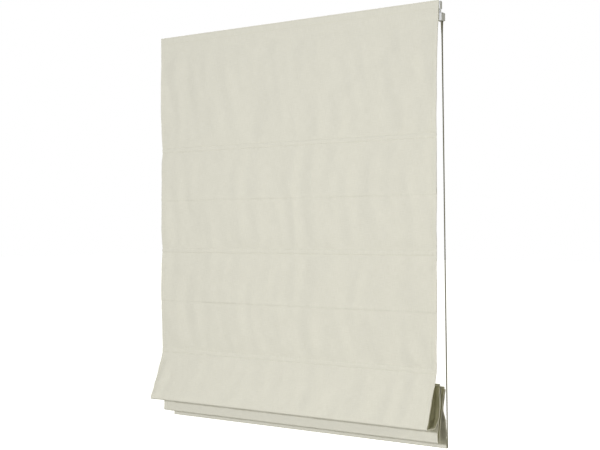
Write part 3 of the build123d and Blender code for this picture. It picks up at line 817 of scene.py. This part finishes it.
# Where the rows of the folds' mesh lie closer together
BENDS = [
    SEAM_4, SEAM_5, HEM_TURN, SEAMS[2],
    line_place(CLOTH_Y - FLAP_REACH, fold_1), line_place(CLOTH_Y + 8.0, fold_2),
]
band = cloth_piece("cloth_top_band", stations(0.0, BAND, 4.0, [TOP_HEM], 1.5, 5.0), CLOTH_LOOKS)
panel = cloth_piece("cloth_panel", stations(BAND, SEAMS[2], 6.5, SEAMS + CREASES, 1.6), CLOTH_LOOKS)
folds = cloth_piece("cloth_folds", stations(SEAMS[2], CLOTH_LENGTH, 5.5, BENDS, 1.1, 9.0), CLOTH_LOOKS)
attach(band, "root")
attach(panel, "root")
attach(folds, "stack")
for piece in (band, panel, folds):
    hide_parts("fabric_panel")
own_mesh(panel)


# ---- stitching on the cloth's front ----


def cross_rows(*places):
    """Rows of stitches from side to side at places along the cloth."""
    return [(-half_width(s) + 2.0, s, half_width(s) - 2.0, s) for s in places]


def pocket_rows(*places):
    """Two rows of stitches from side to side for the pocket at each place."""
    return cross_rows(*[s + side * POCKET_LINES for s in places for side in (-1, 1)])


def hem_rows(start, end):
    """Rows of stitches down both side hems, in short straight lengths."""
    rows = []
    count = max(1, round((end - start) / 60.0))
    marks = np.linspace(start, end, count + 1)
    for side in (-1, 1):
        for before, after in zip(marks, marks[1:]):
            x_before = side * (half_width(before) - HEM_WIDTH)
            x_after = side * (half_width(after) - HEM_WIDTH)
            rows.append((x_before, before, x_after, after))
    return rows


band_rows = cross_rows(3.5, TOP_HEM - 3.0) + hem_rows(TOP_HEM - 1.0, BAND)
panel_rows = pocket_rows(*SEAMS[:2]) + cross_rows(SEAMS[2] - POCKET_LINES) + hem_rows(BAND, SEAMS[2])
fold_rows = cross_rows(SEAMS[2] + POCKET_LINES, HEM_STITCHES) + hem_rows(SEAMS[2], HEM_TURN - 8.0)
fold_rows += pocket_rows(SEAM_4, SEAM_5)
band_sewing = sewn("band_stitches", band_rows, thread_look)
panel_sewing = sewn("panel_stitches", panel_rows, thread_look)
fold_sewing = sewn("fold_stitches", fold_rows, thread_look)
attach(band_sewing, "root")
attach(panel_sewing, "root")
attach(fold_sewing, "stack")
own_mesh(panel_sewing)

# ---- rod pockets and tapes ----

POCKET_BODIES = ["upper_rod", "middle_rod", "stack", "stack", "stack"]
TUNNEL = 3.0
TUNNEL_STEPS = 14
ROD_HOLE = 2.3
TAPE = 0.6
TAPE_HALF = 7.0
TAPE_MARGIN = 1.4


def pocket_outline():
    """A pocket's section: its tape, and the tunnel sewn on it."""
    foot = TUNNEL + 0.8
    side = [(TAPE, TAPE_HALF), (TAPE, foot + 0.6), (TAPE + 0.25, foot - 0.2)]
    points = [(0, -TAPE_HALF), (0, TAPE_HALF)] + side
    for k in range(TUNNEL_STEPS + 1):
        turn = math.radians(-48 + 276 * k / TUNNEL_STEPS)
        points.append((TUNNEL + TUNNEL * math.sin(turn), TUNNEL * math.cos(turn)))
    return points + [(out, -along) for out, along in side[::-1]]


def circle_points(radius, middle, count=20):
    return [
        (middle + radius * math.sin(2 * math.pi * k / count), radius * math.cos(2 * math.pi * k / count))
        for k in range(count)
    ]


def pocket_axes(number):
    """The middle of a pocket's tape, its way out of the cloth and its way along it."""
    node = f"rod_pocket_{number}"
    if number <= 3:
        return Vector((0, low(node).y, centre(node).z)), Vector((0, 1, 0)), Vector((0, 0, 1))
    return Vector((0, centre(node).y, low(node).z)), Vector((0, 0, 1)), Vector((0, -1, 0))


def pocket_sewing(name, axes, half_length):
    """Two rows of stitches on a pocket's tape."""
    origin, outward, along = axes
    count = int(2 * half_length / STITCH_PITCH)
    middles = np.linspace(-half_length + 3, half_length - 3, count)
    spots = []
    for row in (-TAPE_HALF + TAPE_MARGIN, TAPE_HALF - TAPE_MARGIN):
        place = origin + outward * (TAPE + 0.05) + along * row
        for x in middles:
            xs = [x + part * STITCH_LENGTH for part in STITCH_PARTS]
            spots.append([np.array((spot, place.y, place.z)) * MM for spot in xs])
    sides = [np.array(along)] * len(spots)
    ups = [np.array(outward)] * len(spots)
    return stitch_mesh(name, spots, sides, ups, thread_look)


for number, body in enumerate(POCKET_BODIES, 1):
    node = f"rod_pocket_{number}"
    axes = pocket_axes(number)
    hole = circle_points(ROD_HOLE, TUNNEL)
    pocket = extruded(
        f"sewn_pocket_{number}", pocket_outline(), hole, axes, low(node).x, high(node).x, pocket_cloth
    )
    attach(pocket, body)
    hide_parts(node)
    rows = pocket_sewing(f"pocket_stitches_{number}", axes, high(node).x)
    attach(rows, body)


def tape_outline(node):
    """A tape's rounded section, as (out, along)."""
    depth = high(node).y - low(node).y
    half = (high(node).z - low(node).z) / 2
    edge = depth * 0.3
    return [
        (0, -half + edge), (0, half - edge), (edge, half), (depth - edge, half),
        (depth, half - edge), (depth, -half + edge), (depth - edge, -half), (edge, -half),
    ]


for node, name, look, slot_name in (
    ("hook_tape", "hooked_tape", hook_pile, "hook_tape"),
    ("loop_tape", "looped_tape", loop_pile, "pocket_tape"),
):
    axes = (Vector((0, low(node).y, centre(node).z)), Vector((0, 1, 0)), Vector((0, 0, 1)))
    tape = extruded(name, tape_outline(node), None, axes, low(node).x, high(node).x, look, 3.0, 0.15)
    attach(tape, "root")
    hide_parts(node)

# ---- bead chain ----

# Places along the chain from the wheel's middle: down the front strand, round the bottom of the
# loop and up the back strand.
CHAIN_ROUTE = [
    (0.0, -5.0, 0.0),
    (1.0, -4.9, -24.0),
    (3.2, -4.2, -66.0),
    (12.4, 8.1, -1159.0),
    (3.4, 25.9, -1159.0),
    (-2.4, 6.2, -66.0),
    (-1.0, 4.9, -24.0),
    (0.0, 5.0, 0.0),
]
BEAD_RADIUS = 1.9
BEAD_PITCH = 3.93
BEAD_RINGS = 6
BEAD_SIDES = 10
LINK_RADIUS = 1.5
LINK_SIDES = 6
# How far along X the chain wheel's groove lies
GROOVE_MIDDLE = 501.6
wheel_middle = Vector((GROOVE_MIDDLE, centre("drive_shaft").y, centre("drive_shaft").z))


def smooth_line(points, steps=64):
    """Points along the smooth curve of a cord's route, in metres."""
    curve = bpy.data.curves.new("route", "CURVE")
    curve.dimensions = "3D"
    curve.resolution_u = steps
    spline = curve.splines.new("NURBS")
    spline.points.add(len(points) - 1)
    for place, entry in zip(points, spline.points):
        entry.co = (*(Vector(place) * MM), 1)
    spline.order_u = 3
    spline.use_endpoint_u = True
    holder = bpy.data.objects.new("route", curve)
    mesh = bpy.data.meshes.new_from_object(holder)
    line = [Vector(v.co) for v in mesh.vertices]
    bpy.data.objects.remove(holder)
    bpy.data.curves.remove(curve)
    bpy.data.meshes.remove(mesh)
    return line


def spaced_along(line, pitch):
    """Points one pitch apart along a line, with the way that it runs there."""
    reach = [0.0]
    for before, after in zip(line, line[1:]):
        reach.append(reach[-1] + (after - before).length)
    count = int(reach[-1] / pitch)
    spots = np.linspace(0, reach[-1], count + 1)
    table = np.array([tuple(p) for p in line])
    places = np.stack([np.interp(spots, reach, table[:, k]) for k in range(3)], axis=-1)
    ways = np.gradient(places, axis=0)
    return [Vector(p) for p in places], [Vector(w).normalized() for w in ways]


def bead_mesh(radius, rings, sides):
    """Vertices and faces of one bead."""
    vertices = [Vector((0, 0, -radius))]
    for ring in range(1, rings):
        angle = math.pi * ring / rings - math.pi / 2
        for side in range(sides):
            turn = 2 * math.pi * side / sides
            vertices.append(Vector((
                radius * math.cos(angle) * math.cos(turn),
                radius * math.cos(angle) * math.sin(turn),
                radius * math.sin(angle),
            )))
    vertices.append(Vector((0, 0, radius)))
    faces = []
    for side in range(sides):
        after = (side + 1) % sides
        faces.append((0, 1 + after, 1 + side))
        for ring in range(rings - 2):
            a = 1 + ring * sides
            faces.append((a + side, a + after, a + sides + after, a + sides + side))
        top = 1 + (rings - 2) * sides
        faces.append((len(vertices) - 1, top + side, top + after))
    return vertices, faces


def beaded(name, line, look):
    """Beads along a line, joined by short links."""
    places, ways = spaced_along(line, BEAD_PITCH * MM)
    bead, bead_faces = bead_mesh(BEAD_RADIUS * MM, BEAD_RINGS, BEAD_SIDES)
    vertices, faces = [], []
    for place, way in zip(places, ways):
        turn = way.to_track_quat("Z", "Y").to_matrix()
        first = len(vertices)
        vertices += [place + turn @ v for v in bead]
        faces += [tuple(first + i for i in face) for face in bead_faces]
    corners = [2 * math.pi * side / LINK_SIDES for side in range(LINK_SIDES)]
    rim = [Vector((math.cos(a), math.sin(a), 0)) * LINK_RADIUS * MM for a in corners]
    for pair in zip(zip(places, ways), zip(places[1:], ways[1:])):
        first = len(vertices)
        for spot, way in pair:
            turn = way.to_track_quat("Z", "Y").to_matrix()
            vertices += [spot + turn @ point for point in rim]
        faces += strip_walls(LINK_SIDES, 1, first, False)
    return add_mesh(name, vertices, faces, [look]), places


chain_line = smooth_line([wheel_middle + Vector(place) for place in CHAIN_ROUTE])
chain, chain_places = beaded("hanging_chain", chain_line, bead_metal)
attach(chain, "root")
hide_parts("bead_chain")

# ---- lift cords ----

CORD_RADIUS = 0.7
CORD_Y = 4.5
WOUND_TURNS = 12
TURN_STEPS = 28
DROP_STEPS = 60
EYELET = Vector((0, CORD_Y, low("drum_cradle_1").z + 1.0))
HOLD = EYELET.z - 3.0
axle = centre("drive_shaft")
WOUND = high("cord_winding_1").z - axle.z - CORD_RADIUS
# Each cord leaves its drum along the tangent that passes through the eyelet
eyelet_way = EYELET - Vector((0, axle.y, axle.z))
leave_turn = math.atan2(eyelet_way.z, eyelet_way.y) + math.acos(WOUND / eyelet_way.length)
LEAVE = Vector((0, axle.y + WOUND * math.cos(leave_turn), axle.z + WOUND * math.sin(leave_turn)))
# Each cord's tail, from rod 3's ring over the rings of rods 4 and 5 into its stop
TAIL_ROUTE = [
    Vector((0, CORD_Y, ROD_3.z)),
    Vector((0, 4.9, ROD_3.z - 14.0)),
    Vector((0, 12.4, ROD_3.z - 29.4)),
    Vector((0, 26.0, ROD_3.z - 34.0)),
    Vector((0, 39.4, ROD_3.z - 38.9)),
    Vector((0, 44.0, ROD_3.z - 38.9)),
]


def wound_cord(name, x):
    """A drum's turns of cord, side by side, ending where the cord leaves them."""
    line = []
    steps = WOUND_TURNS * TURN_STEPS
    for k in range(steps + 1):
        turns = WOUND_TURNS * (1 - k / steps)
        angle = leave_turn + 2 * math.pi * turns
        line.append(Vector((
            x - turns * 2 * CORD_RADIUS,
            axle.y + WOUND * math.cos(angle),
            axle.z + WOUND * math.sin(angle),
        )) * MM)
    return tube(name, line, CORD_RADIUS, cord_braid, 8)


for number, x in enumerate(CORD_PLACES, 1):
    across_to = Vector((x, 0, 0))
    turns = wound_cord(f"wound_cord_{number}", x)
    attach(turns, "drive")
    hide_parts(f"cord_winding_{number}")

    hold = Vector((0, EYELET.y, HOLD))
    lead = tube(
        f"cord_lead_{number}",
        smooth_line([p + across_to for p in (LEAVE, EYELET.lerp(LEAVE, 0.3), EYELET, hold)], 12),
        CORD_RADIUS, cord_braid,
    )
    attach(lead, "root")

    drop_steps = [HOLD + (ROD_3.z - HOLD) * k / DROP_STEPS for k in range(DROP_STEPS + 1)]
    drop_line = [Vector((x, EYELET.y, z)) * MM for z in drop_steps]
    drop = tube(f"cord_drop_{number}", drop_line, CORD_RADIUS, cord_braid)
    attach(drop, "root")
    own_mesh(drop)

    tail_line = smooth_line([p + across_to for p in TAIL_ROUTE], 16)
    tail = tube(f"cord_tail_{number}", tail_line, CORD_RADIUS, cord_braid)
    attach(tail, "stack")
    for piece in (lead, drop, tail):
        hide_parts(f"lift_cord_{number}")

# ---- floor, light and camera ----

CAMERA_PLACE = (1.841, -2.573, -0.631)
CAMERA_TURN = 35.0
CAMERA_LENS = 64.3
SENSOR_WIDTH = 36.0
CAMERA_SHIFT = 1 / 60
FAR_CLIP = 100.0
FLOOR_Z = -1.75
FLOOR_REACH = 40.0
WORLD_TINT = (1.0, 0.975, 0.74, 1)
WORLD_STRENGTH = 0.28
# Each light's name, place, target, size in metres, power in watts and colour
LIGHTS = [
    ("key", (0.0, -4.6, -0.1), (0, 0, -0.8), 0.45, 137.0, (0.975, 0.985, 1.0)),
    ("fill", (0.1, -2.6, -1.2), (0, 0, -0.95), 1.2, 12.8, (1.0, 0.97, 0.74)),
    ("rear", (-0.8, 3.0, 0.2), (0, 0, -0.7), 1.4, 42.0, (1.0, 0.985, 0.88)),
    ("top", (0.8, -2.0, 1.7), (0, 0, -0.9), 1.0, 5.0, (1.0, 1.0, 1.0)),
    ("side", (2.6, -0.35, -0.7), (0.45, 0, -0.75), 0.4, 17.0, (1.0, 0.97, 0.80)),
]


def add_camera():
    data = bpy.data.cameras.new("camera")
    data.lens = CAMERA_LENS
    data.sensor_width = SENSOR_WIDTH
    data.shift_y = CAMERA_SHIFT
    data.clip_end = FAR_CLIP
    camera = bpy.data.objects.new("camera", data)
    camera.location = CAMERA_PLACE
    camera.rotation_euler = (math.radians(90), 0, math.radians(CAMERA_TURN))
    bpy.context.scene.collection.objects.link(camera)
    bpy.context.scene.camera = camera


def add_floor():
    """A plain pale floor below the blind, which sheds no light on it."""
    paint, shader = material("floor_paint", (0.9, 0.9, 0.9), 0.9)
    shader.inputs["Emission Color"].default_value = (1, 1, 1, 1)
    shader.inputs["Emission Strength"].default_value = 1.0
    corners = [(x * FLOOR_REACH, y * FLOOR_REACH, FLOOR_Z) for x, y in ((-1, -1), (1, -1), (1, 1), (-1, 1))]
    floor = add_mesh("floor", corners, [(0, 1, 2, 3)], [paint])
    floor.visible_diffuse = False
    floor.visible_glossy = False


def add_light(name, place, target, size, power, colour):
    """A round area light that faces its target."""
    data = bpy.data.lights.new(name, "AREA")
    data.shape = "DISK"
    data.size = size
    data.energy = power
    data.color = colour
    lamp = bpy.data.objects.new(name, data)
    lamp.location = place
    lamp.rotation_euler = (Vector(target) - Vector(place)).to_track_quat("-Z", "Y").to_euler()
    bpy.context.scene.collection.objects.link(lamp)


def add_world():
    """A dim tinted world as light, with plain white behind the object."""
    world = bpy.data.worlds.new("studio")
    bpy.context.scene.world = world
    world.use_nodes = True
    nodes = world.node_tree.nodes
    links = world.node_tree.links
    dim = nodes["Background"]
    dim.inputs["Color"].default_value = WORLD_TINT
    dim.inputs["Strength"].default_value = WORLD_STRENGTH
    bright = nodes.new("ShaderNodeBackground")
    bright.inputs["Color"].default_value = (1, 1, 1, 1)
    bright.inputs["Strength"].default_value = 1.0
    ray = nodes.new("ShaderNodeLightPath")
    pick = nodes.new("ShaderNodeMixShader")
    links.new(ray.outputs["Is Camera Ray"], pick.inputs["Fac"])
    links.new(dim.outputs[0], pick.inputs[1])
    links.new(bright.outputs[0], pick.inputs[2])
    links.new(pick.outputs[0], nodes["World Output"].inputs["Surface"])


add_camera()
bpy.context.scene.view_settings.view_transform = "Standard"
add_floor()
for light in LIGHTS:
    add_light(*light)
add_world()
